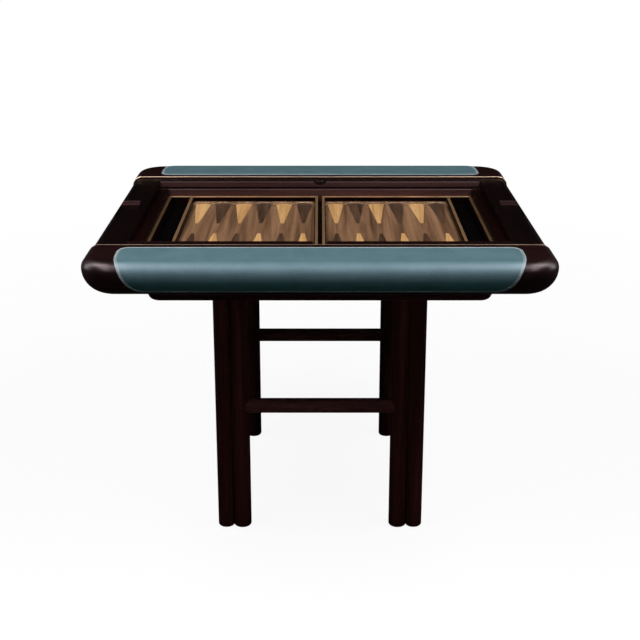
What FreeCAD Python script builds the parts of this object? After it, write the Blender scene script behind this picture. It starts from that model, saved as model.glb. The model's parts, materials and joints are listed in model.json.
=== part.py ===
import FreeCAD, Part
import math
import os

# A square backgammon table: a bullnosed top with leather arm rests and a sunken board made of two
# lift-out trays, on a shallow box with four twin-post legs. Millimetres, +Z up, +X to the right
# and +Y to the rear, with the origin on the floor under the middle of the top.

# Table top
top_height = 744.0
top_width = 1043.0
top_depth = 1048.0
top_thickness = 80.0
nose_upper = 25.5
corner_radius = 77.0
rail_depth = 165.0
side_panel_width = 77.0
panel_step = 4.5
lip_round = 2.0

# Brass line let into the inner edge of each rail
brass_width = 4.0
brass_depth = 2.0

# Leather arm pads, lying in a pocket of the rails
pad_length = 888.0
pad_setback = 25.0
pad_drop = 68.0
pad_plan_corner = 34.0
pad_front_corner = 80.0
pad_recess = 3.0
pad_clearance = 0.3
hem_width = 7.0
hem_proud = 0.4
crown_proud = 1.8

# Finger notches: long ones in the side panels, scoops in the ledges
notch_length = 170.0
notch_setback = 20.0
notch_depth = 10.5
notch_corner = 8.0
scoop_width = 36.0
scoop_reach = 30.0
scoop_depth = 10.0

# Well: a ledge round its mouth, a shelf below it, then the walls down to the floor
ledge_width = 45.0
ledge_thickness = 15.0
shelf_width = 26.0
well_floor_thickness = 12.0

# Trays, one on each side of a batten on the well floor
tray_clearance = 0.8
tray_height = 29.5
tray_base_thickness = 6.0
tray_wall = 9.0
cap_thickness = 3.0
centre_gap = 11.2
trough_width = 51.0
felt_thickness = 3.0
field_thickness = 6.5
batten_height = 10.0
batten_clearance = 0.4

# Points and the scalloped rests at their bases
points_per_row = 6
point_length = 216.0
point_base = 44.0
veneer_thickness = 1.5
rest_thickness = 4.0
rest_back = 11.0
cusp_width = 2.0

# Box under the top, set back from the sides of the well floor
box_setback_x = 39.0
box_setback_y = 41.0
box_height = 70.0
box_corner = 30.0
box_round = 16.0
apron_thickness = 20.0
deck_thickness = 22.0

# Legs: two posts side by side, glued along a flat, set back from the faces of the box
leg_setback_x = 189.0
leg_setback_y = 40.0
outer_post_radius = 20.5
outer_post_offset = 19.5
inner_post_radius = 21.8
inner_post_offset = 20.0
foot_pad_radius = 12.0
foot_pad_thickness = 1.0

# Stretchers between the inner posts
front_stretcher_height = 320.0
rear_stretcher_height = 306.0
stretcher_radius = 18.0
tenon_radius = 10.0
tenon_length = 20.0

# Fixings, hidden and drawn with a few flats
peg_sides = 6
dowel_radius = 5.0
dowel_length = 50.0
dowel_spacing = 30.0
stud_radius = 5.0
stud_depth = 50.0
nut_across_flats = 16.0
nut_height = 8.0
washer_radius = 10.0
washer_thickness = 2.0
stud_past_nut = 3.0
screw_radius = 2.25
screw_head_radius = 4.5
screw_head_depth = 3.0
screw_depth = 30.0
screw_spacing = 190.0
screws_per_side = 3
glue_gap = 0.1

# Levels and lines that several pieces share
nose_lower = top_thickness - nose_upper
nose_line = top_height - nose_upper
top_bottom = top_height - top_thickness
rail_line = top_depth / 2 - rail_depth
panel_top = top_height - panel_step
panel_bottom = top_bottom + panel_step
panel_outer = top_width / 2 - panel_step
mouth_x = panel_outer - side_panel_width
mouth_y = rail_line - ledge_width
shelf_top = panel_top - ledge_thickness
well_x = mouth_x - shelf_width
well_y = mouth_y - shelf_width
floor_top = top_bottom + well_floor_thickness
tray_outer = well_x - tray_clearance
tray_inner = centre_gap / 2
tray_end = well_y - tray_clearance
base_top = floor_top + tray_base_thickness
cap_bottom = floor_top + tray_height - cap_thickness
field_top = base_top + field_thickness
field_end = tray_end - tray_wall
trough_outer = tray_outer - tray_wall
trough_inner = trough_outer - trough_width
field_outer = trough_inner - tray_wall
field_inner = tray_inner + tray_wall
point_pitch = (field_outer - field_inner) / points_per_row
scallop_radius = (point_pitch - cusp_width) / 2
box_bottom = top_bottom - box_height
deck_top = box_bottom + deck_thickness
box_x = mouth_x - box_setback_x
box_y = rail_line - box_setback_y
deck_x = box_x - apron_thickness
deck_y = box_y - apron_thickness
leg_x = box_x - leg_setback_x
leg_y = box_y - leg_setback_y
far = top_width + top_depth

UP = FreeCAD.Vector(0, 0, 1)
ORIGIN = FreeCAD.Vector(0, 0, 0)


# Shape helpers

def point(x, y, z):
    return FreeCAD.Vector(x, y, z)


def block(x, y, z):
    """Box between the low and high value of each axis."""
    size = [high - low for low, high in (x, y, z)]
    return Part.makeBox(size[0], size[1], size[2], point(x[0], y[0], z[0]))


def rod(radius, start, end):
    """Cylinder from one point to another."""
    axis = end - start
    return Part.makeCylinder(radius, axis.Length, start, axis)


def peg(radius, start, end):
    """Straight peg with a few flats, from one point to another."""
    axis = end - start
    turn = FreeCAD.Rotation(UP, axis)
    angles = [2 * math.pi * step / peg_sides for step in range(peg_sides + 1)]
    corners = [start + turn.multVec(point(radius * math.cos(angle), radius * math.sin(angle), 0))
               for angle in angles]
    return Part.Face(Part.makePolygon(corners)).extrude(axis)


def arc(start, through, end):
    return Part.Arc(start, through, end).toShape()


def line(start, end):
    return Part.LineSegment(start, end).toShape()


def face_of(edges):
    return Part.Face(Part.Wire(edges))


def fused(shapes):
    return shapes[0].multiFuse(shapes[1:]).removeSplitter()


def turned(shape):
    """The same piece at the other end of the table, turned half round."""
    copy = shape.copy()
    copy.rotate(ORIGIN, UP, 180)
    return copy


def mirrored(shape):
    """The same piece on the left, mirrored across the middle."""
    return shape.mirror(ORIGIN, point(1, 0, 0))


def arch_face(half_width, base, corner, height, place):
    """Upright outline with two rounded corners at its base; place maps its u and v to a point."""
    diagonal = corner * (1 - math.sqrt(0.5))
    left = -half_width
    right = half_width
    top = base + height
    return face_of([
        line(place(left, top), place(left, base + corner)),
        arc(place(left, base + corner), place(left + diagonal, base + diagonal),
            place(left + corner, base)),
        line(place(left + corner, base), place(right - corner, base)),
        arc(place(right - corner, base), place(right - diagonal, base + diagonal),
            place(right, base + corner)),
        line(place(right, base + corner), place(right, top)),
        line(place(right, top), place(left, top)),
    ])


def rounded_prism(half_x, half_y, corner, low, high):
    """Upright prism on a rectangle with rounded corners."""
    across = block((-half_x, half_x), (corner - half_y, half_y - corner), (low, high))
    along = block((corner - half_x, half_x - corner), (-half_y, half_y), (low, high))
    posts = []
    for x in (corner - half_x, half_x - corner):
        for y in (corner - half_y, half_y - corner):
            posts.append(rod(corner, point(x, y, low), point(x, y, high)))
    return fused([across, along] + posts)


# Rails, brass lines and arm pads

def nose_edges(outer, upper, lower, place):
    """Edge of the top from above to below: a tight quarter round over a wide one, with their radii given.

    place maps the distance outwards and the height to a point."""
    bend = math.sqrt(0.5)
    tip = place(outer, nose_line)
    return [
        arc(place(outer - upper, nose_line + upper),
            place(outer - upper * (1 - bend), nose_line + upper * bend), tip),
        arc(tip, place(outer - lower * (1 - bend), nose_line - lower * bend),
            place(outer - lower, nose_line - lower)),
    ]


def bullnose_slab(grow):
    """The whole top as a slab with a rounded edge, grown outwards by the given amount."""
    low = top_bottom - grow
    high = top_height + grow
    ring = corner_radius - nose_lower
    corner_x = top_width / 2 - corner_radius
    corner_y = top_depth / 2 - corner_radius
    core = rounded_prism(corner_x + ring, corner_y + ring, ring, low, high)
    nose = face_of([
        line(point(ring, 0, low), point(ring, 0, high)),
        line(point(ring, 0, high), point(corner_radius - nose_upper, 0, high)),
    ] + nose_edges(corner_radius + grow, nose_upper + grow, nose_lower + grow,
                   lambda out, height: point(out, 0, height)))
    corners = [(corner_x, corner_y), (-corner_x, corner_y), (-corner_x, -corner_y), (corner_x, -corner_y)]
    solids = [core]
    for index, (x, y) in enumerate(corners):
        section = nose.copy()
        section.rotate(ORIGIN, UP, 90 * index)
        centre = point(x, y, 0)
        section.translate(centre)
        solids.append(section.revolve(centre, UP, 90))
        before_x, before_y = corners[index - 1]
        solids.append(section.extrude(point(before_x - x, before_y - y, 0)))
    return fused(solids)


def pad_space(grow):
    """Space that the front pad covers: rounded in plan on top and in elevation below."""
    half = pad_length / 2 + grow
    inner = grow - rail_line - pad_setback
    plan = arch_face(half, -inner, pad_plan_corner + grow, far, lambda u, v: point(u, -v, 0))
    low = top_height - pad_drop - grow
    front = arch_face(half, low, pad_front_corner + grow, far, lambda u, v: point(u, inner, v))
    return plan.extrude(point(0, 0, far)).common(front.extrude(point(0, -far, 0)))


def frame_dowels(gap):
    """Dowels that join the side panels to the rails, two at each joint."""
    middle_x = (mouth_x + panel_outer) / 2
    middle_z = (top_height + top_bottom) / 2
    half_length = dowel_length / 2 + gap
    dowels = []
    for side in (-middle_x, middle_x):
        for x in (side - dowel_spacing / 2, side + dowel_spacing / 2):
            for y in (-rail_line, rail_line):
                dowels.append(peg(dowel_radius + gap, point(x, y - half_length, middle_z),
                                  point(x, y + half_length, middle_z)))
    return Part.makeCompound(dowels)


def front_rail_pieces():
    """Front rail with its pocket, its brass line and its leather pad."""
    slab = bullnose_slab(0)
    front_side = block((-far, far), (-far, -rail_line), (0, far))
    band = block((-far, far), (-rail_line - brass_width, -rail_line), (0, far))
    flat_half = top_width / 2 - nose_lower
    underside = block((-flat_half, flat_half), (-far, 0), (0, nose_line))
    brass = slab.cut(bullnose_slab(-brass_depth)).common(band).cut(underside)
    pocket = pad_space(pad_clearance).cut(bullnose_slab(-pad_recess - pad_clearance))
    rail = slab.common(front_side).cut(brass).cut(pocket).cut(frame_dowels(glue_gap))
    inside = bullnose_slab(-pad_recess)
    hem = pad_space(0).common(bullnose_slab(hem_proud)).cut(inside)
    crown = pad_space(-hem_width).common(bullnose_slab(crown_proud)).cut(inside)
    return rail, brass, fused([hem, crown])


# Side panels, ledges, well walls and floor

def right_side_panel():
    """Panel between the rails, a step lower than they are, with a finger notch in its outer edge."""
    upper = nose_upper - panel_step
    lower = nose_lower - panel_step
    diagonal = lip_round * (1 - math.sqrt(0.5))

    def place(out, height):
        return point(out, -rail_line, height)

    section = face_of(nose_edges(panel_outer, upper, lower, place) + [
        line(place(panel_outer - lower, panel_bottom), place(mouth_x, panel_bottom)),
        line(place(mouth_x, panel_bottom), place(mouth_x, panel_top - lip_round)),
        arc(place(mouth_x, panel_top - lip_round), place(mouth_x + diagonal, panel_top - diagonal),
            place(mouth_x + lip_round, panel_top)),
        line(place(mouth_x + lip_round, panel_top), place(panel_outer - upper, panel_top)),
    ])
    panel = section.extrude(point(0, 2 * rail_line, 0))
    notch_floor = panel_top - notch_depth
    notch = arch_face(notch_length / 2, mouth_x + notch_setback, notch_corner, far,
                      lambda u, v: point(v, u, notch_floor))
    return panel.cut(notch.extrude(point(0, 0, far))).cut(frame_dowels(glue_gap))


def rear_ledge():
    """Strip round the mouth of the well, with a ball-ended scoop for a finger at its middle."""
    diagonal = lip_round * (1 - math.sqrt(0.5))
    section = face_of([
        line(point(-mouth_x, mouth_y, shelf_top), point(-mouth_x, rail_line, shelf_top)),
        line(point(-mouth_x, rail_line, shelf_top), point(-mouth_x, rail_line, panel_top)),
        line(point(-mouth_x, rail_line, panel_top), point(-mouth_x, mouth_y + lip_round, panel_top)),
        arc(point(-mouth_x, mouth_y + lip_round, panel_top),
            point(-mouth_x, mouth_y + diagonal, panel_top - diagonal),
            point(-mouth_x, mouth_y, panel_top - lip_round)),
        line(point(-mouth_x, mouth_y, panel_top - lip_round), point(-mouth_x, mouth_y, shelf_top)),
    ])
    ledge = section.extrude(point(2 * mouth_x, 0, 0))
    half = scoop_width / 2
    ball = (half ** 2 + scoop_depth ** 2) / (2 * scoop_depth)
    centre = point(0, mouth_y + scoop_reach - half, panel_top + ball - scoop_depth)
    entry = point(0, mouth_y - ball, centre.z)
    return ledge.cut(rod(ball, entry, centre).fuse(Part.makeSphere(ball, centre)))


def screw_places():
    """Screws down through the well floor into the side aprons."""
    x = box_x - apron_thickness / 2
    first = -screw_spacing * (screws_per_side - 1) / 2
    return [point(side * x, first + screw_spacing * step, floor_top)
            for side in (-1, 1) for step in range(screws_per_side)]


def screw_group(gap):
    """Screws with their heads sunk flush with the well floor."""
    screws = []
    head = UP * screw_head_depth
    for place in screw_places():
        shank = peg(screw_radius + gap, place - UP * (screw_depth + gap), place - head)
        screws.append(shank.fuse(peg(screw_head_radius + gap, place - head, place)))
    return Part.makeCompound(screws)


def well_pieces():
    """Walls under the ledges and side panels, the well floor and the batten between the trays."""
    rear_wall = block((-mouth_x, mouth_x), (well_y, rail_line), (floor_top, shelf_top))
    right_wall = block((well_x, mouth_x), (-well_y, well_y), (floor_top, shelf_top))
    floor = block((-mouth_x, mouth_x), (-rail_line, rail_line), (top_bottom, floor_top))
    half = centre_gap / 2 - batten_clearance
    batten = block((-half, half), (-tray_end, tray_end), (floor_top, floor_top + batten_height))
    return rear_wall, right_wall, floor.cut(screw_group(glue_gap)), batten


# Trays of the board

def tray_span(side, inner, outer):
    """Low and high X of a stretch given by its distances from the middle of the table."""
    if side > 0:
        return inner, outer
    return -outer, -inner


def point_inlays(side, light):
    """Triangular inlays of one colour: light ones at odd places in the rear row, even in front."""
    low_x, _ = tray_span(side, field_inner, field_outer)
    base_y = field_end - rest_back
    inlays = []
    for column in range(points_per_row):
        row = 1 if (column % 2 == 0) == light else -1
        middle = low_x + (column + 0.5) * point_pitch
        level = field_top - veneer_thickness
        left = point(middle - point_base / 2, row * base_y, level)
        right = point(middle + point_base / 2, row * base_y, level)
        tip = point(middle, row * (base_y - point_length), level)
        triangle = face_of([line(left, right), line(right, tip), line(tip, left)])
        inlays.append(triangle.extrude(point(0, 0, veneer_thickness)))
    return Part.makeCompound(inlays)


def checker_rests(side):
    """Scalloped strips at both ends of a field, with one half-round bay for each point."""
    span = tray_span(side, field_inner, field_outer)
    bay_y = field_end - rest_back - scallop_radius
    strip = block(span, (bay_y, field_end), (field_top, field_top + rest_thickness))
    for column in range(points_per_row):
        centre = point(span[0] + (column + 0.5) * point_pitch, bay_y, 0)
        strip = strip.cut(rod(scallop_radius, centre, centre + UP * far))
    middle = point((span[0] + span[1]) / 2, 0, 0)
    opposite = strip.copy()
    opposite.rotate(middle, UP, 180)
    return Part.makeCompound([strip, opposite])


def tray_pieces(side):
    """One half of the board: base, walls, brass caps, field with points, rests and felted trough."""
    whole = tray_span(side, tray_inner, tray_outer)
    long_walls = {
        "outer_wall": tray_span(side, trough_outer, tray_outer),
        "partition": tray_span(side, field_outer, trough_inner),
        "centre_wall": tray_span(side, tray_inner, field_inner),
    }
    end_walls = {"front_wall": (-tray_end, -field_end), "rear_wall": (field_end, tray_end)}
    cap_top = cap_bottom + cap_thickness
    pieces = {"tray_base": block(whole, (-tray_end, tray_end), (floor_top, base_top))}
    caps = []
    for name, x in long_walls.items():
        pieces["tray_" + name] = block(x, (-field_end, field_end), (base_top, cap_bottom))
        caps.append(block(x, (-field_end, field_end), (cap_bottom, cap_top)))
    for name, y in end_walls.items():
        pieces["tray_" + name] = block(whole, y, (base_top, cap_bottom))
        caps.append(block(whole, y, (cap_bottom, cap_top)))
    pieces["tray_caps"] = Part.makeCompound(caps)
    light = point_inlays(side, True)
    dark = point_inlays(side, False)
    field = block(tray_span(side, field_inner, field_outer), (-field_end, field_end), (base_top, field_top))
    pieces["field_panel"] = field.cut(light).cut(dark)
    pieces["light_points"] = light
    pieces["dark_points"] = dark
    pieces["checker_rests"] = checker_rests(side)
    pieces["trough_felt"] = block(tray_span(side, trough_inner, trough_outer), (-field_end, field_end),
                                  (base_top, base_top + felt_thickness))
    return pieces


# Box under the top

def apron_ring():
    """Four aprons in one ring, with the lower outer edge rounded over."""
    outer = rounded_prism(box_x, box_y, box_corner, box_bottom, top_bottom)
    lower_edges = [edge for edge in outer.Edges
                   if abs(edge.BoundBox.ZMax - box_bottom) < glue_gap]
    inside = block((-deck_x, deck_x), (-deck_y, deck_y), (0, far))
    return outer.makeFillet(box_round, lower_edges).cut(inside)


def apron_pieces():
    """The ring cut into mitred boards, drilled for the screws from the well floor."""
    ring = apron_ring().cut(screw_group(glue_gap))
    past = apron_thickness * 2
    corner = point(deck_x, deck_y, 0)
    beyond = point(deck_x + past, deck_y + past, 0)
    rear_mask = face_of([
        line(point(-corner.x, corner.y, 0), corner),
        line(corner, beyond),
        line(beyond, point(-beyond.x, beyond.y, 0)),
        line(point(-beyond.x, beyond.y, 0), point(-corner.x, corner.y, 0)),
    ]).extrude(UP * far)
    right_mask = face_of([
        line(point(corner.x, -corner.y, 0), corner),
        line(corner, beyond),
        line(beyond, point(beyond.x, -beyond.y, 0)),
        line(point(beyond.x, -beyond.y, 0), point(corner.x, -corner.y, 0)),
    ]).extrude(UP * far)
    return ring.common(rear_mask), ring.common(right_mask)


# Legs and stretchers

def post_axis(outer):
    """Distance of a post's axis from the middle of the table."""
    if outer:
        return leg_x + outer_post_offset
    return leg_x - inner_post_offset


def post_radius(outer):
    if outer:
        return outer_post_radius
    return inner_post_radius


def post_blank(outer, grow):
    """Round post of the right rear leg, from the foot to the underside of the box."""
    foot = point(post_axis(outer), leg_y, foot_pad_thickness)
    return rod(post_radius(outer) + grow, foot, point(foot.x, foot.y, box_bottom))


def right_rear_post(outer, stretcher_height):
    """Post with its glue flat and holes for the stud and the stretcher's tenon."""
    post = post_blank(outer, 0)
    if outer:
        post = post.common(block((leg_x, far), (0, far), (0, far)))
    else:
        post = post.common(block((0, leg_x), (0, far), (0, far)))
        post = post.cut(stretcher_tenon(stretcher_height, glue_gap))
    top_centre = point(post_axis(outer), leg_y, box_bottom)
    return post.cut(peg(stud_radius + glue_gap, top_centre - UP * (stud_depth + glue_gap), top_centre))


def stretcher_tenon(stretcher_height, gap):
    """Tenon that runs the length of a rear stretcher and into both inner posts."""
    shoulder = post_axis(False) - inner_post_radius
    reach = shoulder + tenon_length + gap
    return peg(tenon_radius + gap, point(-reach, leg_y, stretcher_height),
               point(reach, leg_y, stretcher_height))


def stretcher_at_rear(stretcher_height):
    """Round bar, its ends saddled to the inner posts, with a tenon into each."""
    reach = post_axis(False)
    bar = rod(stretcher_radius, point(-reach, leg_y, stretcher_height),
              point(reach, leg_y, stretcher_height))
    saddle = post_blank(False, glue_gap)
    tenon = stretcher_tenon(stretcher_height, 0)
    return bar.cut(saddle).cut(mirrored(saddle)).fuse(tenon).removeSplitter()


def at_each_leg(make):
    """One shape for each post of each leg: make is given the outer flag, the others are placed."""
    shapes = []
    for outer in (False, True):
        right_rear = make(outer)
        shapes += [right_rear, mirrored(right_rear), turned(right_rear), turned(mirrored(right_rear))]
    return shapes


def stud(outer):
    """Stud from a post's top up through the deck, the washer and the nut."""
    centre = point(post_axis(outer), leg_y, box_bottom)
    above = deck_thickness + washer_thickness + nut_height + stud_past_nut
    return peg(stud_radius, centre - UP * stud_depth, centre + UP * above)


def flange_nut(outer):
    """Hexagon nut with a washer flange, sitting on the deck."""
    seat = point(post_axis(outer), leg_y, deck_top)
    nut_bottom = seat + UP * washer_thickness
    nut_top = nut_bottom + UP * nut_height
    corner = nut_across_flats / math.sqrt(3)
    angles = [math.pi * step / 3 for step in range(7)]
    corners = [nut_bottom + point(corner * math.cos(angle), corner * math.sin(angle), 0) for angle in angles]
    hexagon = Part.Face(Part.makePolygon(corners)).extrude(UP * nut_height)
    washer = peg(washer_radius, seat, nut_bottom)
    return hexagon.fuse(washer).cut(peg(stud_radius + glue_gap, seat, nut_top))


def foot_pad(outer):
    """Felt glued under the foot of a post."""
    centre = point(post_axis(outer), leg_y, 0)
    return peg(foot_pad_radius, centre, centre + UP * foot_pad_thickness)


def stud_hole(outer):
    """Hole through the deck for a stud."""
    centre = point(post_axis(outer), leg_y, box_bottom)
    return peg(stud_radius + glue_gap, centre, centre + UP * deck_thickness)


# Assembly

def build():
    """All the pieces by name."""
    nodes = {}
    rail, brass, pad = front_rail_pieces()
    rear_wall, right_wall, well_floor, batten = well_pieces()
    rear_apron, right_apron = apron_pieces()
    ledge = rear_ledge()
    front_made = {"rail": rail, "brass_line": brass, "arm_pad": pad}
    for name, shape in front_made.items():
        nodes["front_" + name] = shape
        nodes["rear_" + name] = turned(shape)
    rear_made = {"ledge": ledge, "well_wall": rear_wall, "apron": rear_apron}
    for name, shape in rear_made.items():
        nodes["rear_" + name] = shape
        nodes["front_" + name] = turned(shape)
    right_made = {"side_panel": right_side_panel(), "well_wall": right_wall, "apron": right_apron}
    for name, shape in right_made.items():
        nodes["right_" + name] = shape
        nodes["left_" + name] = mirrored(shape)
    nodes["well_floor"] = well_floor
    nodes["centre_batten"] = batten
    deck = block((-deck_x, deck_x), (-deck_y, deck_y), (box_bottom, deck_top))
    nodes["leg_deck"] = deck.cut(Part.makeCompound(at_each_leg(stud_hole)))
    nodes["rear_stretcher"] = stretcher_at_rear(rear_stretcher_height)
    nodes["front_stretcher"] = turned(stretcher_at_rear(front_stretcher_height))
    for outer, name in ((False, "inner_post"), (True, "outer_post")):
        rear_post = right_rear_post(outer, rear_stretcher_height)
        nodes["rear_right_" + name] = rear_post
        nodes["rear_left_" + name] = mirrored(rear_post)
        front_post = turned(right_rear_post(outer, front_stretcher_height))
        nodes["front_left_" + name] = front_post
        nodes["front_right_" + name] = mirrored(front_post)
    for side, prefix in ((-1, "left_"), (1, "right_")):
        for name, shape in tray_pieces(side).items():
            nodes[prefix + name] = shape
    nodes["frame_dowels"] = frame_dowels(0)
    nodes["floor_screws"] = screw_group(0)
    nodes["leg_studs"] = Part.makeCompound(at_each_leg(stud))
    nodes["flange_nuts"] = Part.makeCompound(at_each_leg(flange_nut))
    nodes["foot_pads"] = Part.makeCompound(at_each_leg(foot_pad))
    return nodes


os.makedirs("parts", exist_ok=True)
for node_name, node_shape in build().items():
    node_shape.exportStep("parts/" + node_name + ".step")
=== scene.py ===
import json
import math

import bmesh
import bpy
import numpy as np
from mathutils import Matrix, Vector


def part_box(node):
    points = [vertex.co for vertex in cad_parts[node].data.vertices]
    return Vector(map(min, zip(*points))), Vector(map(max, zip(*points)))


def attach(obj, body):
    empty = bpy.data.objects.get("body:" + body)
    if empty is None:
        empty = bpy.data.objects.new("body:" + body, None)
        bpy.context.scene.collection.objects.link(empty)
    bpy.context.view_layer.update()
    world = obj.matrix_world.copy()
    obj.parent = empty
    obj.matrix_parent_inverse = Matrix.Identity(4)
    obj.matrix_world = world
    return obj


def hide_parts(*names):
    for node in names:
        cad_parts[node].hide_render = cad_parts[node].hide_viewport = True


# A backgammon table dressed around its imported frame, in metres: lacquered dark wood, teal leather
# arm pads with a sewn border, brass lines, and a walnut board with inlaid points.

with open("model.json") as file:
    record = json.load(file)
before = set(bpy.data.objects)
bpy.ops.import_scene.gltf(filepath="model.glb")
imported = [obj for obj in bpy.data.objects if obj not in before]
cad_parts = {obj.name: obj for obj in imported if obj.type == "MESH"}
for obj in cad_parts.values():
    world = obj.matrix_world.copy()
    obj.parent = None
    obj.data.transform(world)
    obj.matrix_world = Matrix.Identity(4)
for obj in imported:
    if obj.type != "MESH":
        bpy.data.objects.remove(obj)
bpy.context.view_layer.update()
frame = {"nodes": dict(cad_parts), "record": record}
nodes = frame["nodes"]

# Top, from the frame
rail_low, rail_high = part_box("front_rail")
half_width = rail_high.x
half_depth = -rail_low.y
rail_line = -rail_high.y
top_height = rail_high.z
top_bottom = rail_low.z
nose_upper = 0.0255
nose_lower = top_height - top_bottom - nose_upper
nose_line = top_height - nose_upper
corner_radius = 0.077
corner_x = half_width - corner_radius
corner_y = half_depth - corner_radius
brass_width = 0.004
brass_depth = 0.002

# Arm pads
pad_low, pad_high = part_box("front_arm_pad")
pad_half = 0.448
pad_edge = -pad_high.y
pad_bottom = pad_low.z
plan_run = 0.030
plan_side = 0.024
front_run = 0.148
front_side = 0.072
welt_width = 0.0042
welt_height = 0.0009
rim_sink = 0.0004
valley_height = 0.0002
pillow_reach = 0.032
pillow_height = 0.0017
backing_depth = 0.0010
backing_rows = 8
welt_rows = 10
pad_columns = 720
stitch_inset = 0.0058
stitch_pitch = 0.0048
stitch_length = 0.0036
stitch_width = 0.0010
stitch_height = 0.0007
stitch_rings = 7
stitch_sides = 6
quarter_turn = math.pi / 2
flat_reach = half_depth - nose_upper - pad_edge
upper_reach = nose_upper * quarter_turn
lower_turn = math.asin((nose_line - pad_bottom) / nose_lower)
wrap_length = flat_reach + upper_reach + nose_lower * lower_turn

# Box, legs and stretchers
apron_low, apron_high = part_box("right_apron")
front_apron_low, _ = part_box("front_apron")
box_x = apron_high.x
box_y = -front_apron_low.y
box_bottom = apron_low.z
apron_thickness = 0.020
box_corner = 0.030
box_round = 0.016
box_steps = 12
foot_round = 0.006
inner_post_radius = 0.0218
outer_post_radius = 0.0205
stretcher_radius = 0.018

# Points closer than this become one, and shorter edges than this are dropped
merge_distance = 2e-6
least_edge = 1e-6

# Brass caps and inlaid points
tray_walls = ("outer_wall", "partition", "centre_wall", "front_wall", "rear_wall")
cap_ledge = 0.0025
cap_joint = 0.00005
points_per_row = 6
point_length = 0.216
point_base = 0.044
point_tip = 0.008
point_proud = 0.00015

# Eased edges, on folds past an angle in degrees, and the part of the ledges that the scoop takes up
common_fold = 40
ledge_fold = 80
soft_fold = 80
wood_ease = 0.0006
panel_ease = 0.0010
wall_ease = 0.0018
lip_ease = 0.0011
brass_ease = 0.0004
line_ease = 0.0009
rest_ease = 0.0009
scoop_half = 0.020


# Meshes

def grid_faces(rows, columns, closed):
    """Corner numbers of the quads of a grid; a closed grid joins its last column to the first."""
    spans = columns if closed else columns - 1
    row, column = np.meshgrid(np.arange(rows - 1), np.arange(spans), indexing="ij")
    following = (column + 1) % columns
    corners = [row * columns + column, row * columns + following,
               (row + 1) * columns + following, (row + 1) * columns + column]
    return np.stack(corners, axis=-1).reshape(-1, 4)


def piece_of(name, grids, caps=(), sharp=common_fold, marks=None):
    """One closed mesh from grids of points, each (points, closed), and rings of points that are capped.

    The marks, one for each face, say which of the piece's finishes it gets."""
    vertices = np.concatenate([points.reshape(-1, 3) for points, _ in grids] + list(caps))
    faces = []
    start = 0
    for points, closed in grids:
        faces += (grid_faces(points.shape[0], points.shape[1], closed) + start).tolist()
        start += points.shape[0] * points.shape[1]
    for ring in caps:
        faces.append(list(range(start, start + len(ring))))
        start += len(ring)
    mesh = bpy.data.meshes.new(name)
    mesh.from_pydata(vertices.tolist(), [], faces)
    if marks is not None:
        mesh.polygons.foreach_set("material_index", marks)
    tidy(mesh)
    return place(name, mesh, sharp)


def tidy(mesh):
    """Joins points that coincide, drops faces without area and turns the faces outwards."""
    work = bmesh.new()
    work.from_mesh(mesh)
    bmesh.ops.remove_doubles(work, verts=work.verts, dist=merge_distance)
    bmesh.ops.dissolve_degenerate(work, edges=work.edges, dist=least_edge)
    bmesh.ops.recalc_face_normals(work, faces=work.faces)
    work.to_mesh(mesh)
    work.free()


def place(name, mesh, sharp):
    """Puts a mesh into the scene, smooth but for edges sharper than the angle in degrees."""
    mesh.shade_smooth()
    mesh.set_sharp_from_angle(angle=math.radians(sharp))
    piece = bpy.data.objects.new(name, mesh)
    bpy.context.scene.collection.objects.link(piece)
    return piece


def body_of(node):
    """The body that carries a node."""
    bodies = frame["record"]["behaviour"]["bodies"]
    return next(body for body, members in bodies.items() if node in members)


def stands_for(piece, node, finish):
    """A new piece takes the place and the body of a node, and gets its finish."""
    piece.data.materials.append(finish)
    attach(piece, body_of(node))
    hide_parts(node)


def paint_lit_faces(piece, second, third):
    """Paints light: the upright front and rear faces of a piece get a second, lighter finish, and its lips a
    third.

    A lip is a slanted face, and the scoop in the middle is none."""
    slanted, upright = 0.2, 0.9
    polygons = piece.data.polygons
    normals = np.empty(len(polygons) * 3)
    polygons.foreach_get("normal", normals)
    centres = np.empty(len(polygons) * 3)
    polygons.foreach_get("center", centres)
    facing, rising = np.abs(normals.reshape(-1, 3)[:, 1:]).T
    lip = (facing > slanted) & (rising > slanted) & (np.abs(centres[::3]) > scoop_half)
    tone = np.where(lip, 2, np.where(facing > upright, 1, 0))
    polygons.foreach_set("material_index", tone.astype(np.int32))
    piece.data.materials.append(second)
    piece.data.materials.append(third)


def paint_edge_highlights(piece, finish):
    """Gives the eased edges of a piece a finish of their own, a lighter one that paints a highlight on them.
    """
    piece.data.materials.append(finish)
    piece.modifiers["ease"].material = len(piece.data.materials) - 1


def unturned(points):
    """The points as they are, at the front of the table."""
    return points


def half_turned(points):
    """The same points at the other end of the table, turned half round."""
    return points * np.array([-1.0, -1.0, 1.0])


ends = (("front", unturned), ("rear", half_turned))


def ease_edges(piece, width, fold=common_fold):
    """Small rounds on the edges past the fold in degrees."""
    ease = piece.modifiers.new("ease", "BEVEL")
    ease.width = width
    ease.segments = 2
    ease.limit_method = "ANGLE"
    ease.angle_limit = math.radians(fold)
    weld = piece.modifiers.new("weld", "WELD")
    weld.merge_threshold = merge_distance
    even = piece.modifiers.new("even", "WEIGHTED_NORMAL")
    even.keep_sharp = True


def eased_copy(node, width, fold=common_fold):
    """A merged copy of a node with its flats joined, and its edges past the fold eased by a small round."""
    flat_fold = 0.4
    mesh = nodes[node].data.copy()
    mesh.materials.clear()
    work = bmesh.new()
    work.from_mesh(mesh)
    bmesh.ops.remove_doubles(work, verts=work.verts, dist=merge_distance)
    bmesh.ops.dissolve_limit(work, angle_limit=math.radians(flat_fold), verts=work.verts, edges=work.edges)
    work.to_mesh(mesh)
    work.free()
    piece = place(node + "_dressed", mesh, common_fold)
    ease_edges(piece, width, fold)
    return piece


# Rails

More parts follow.
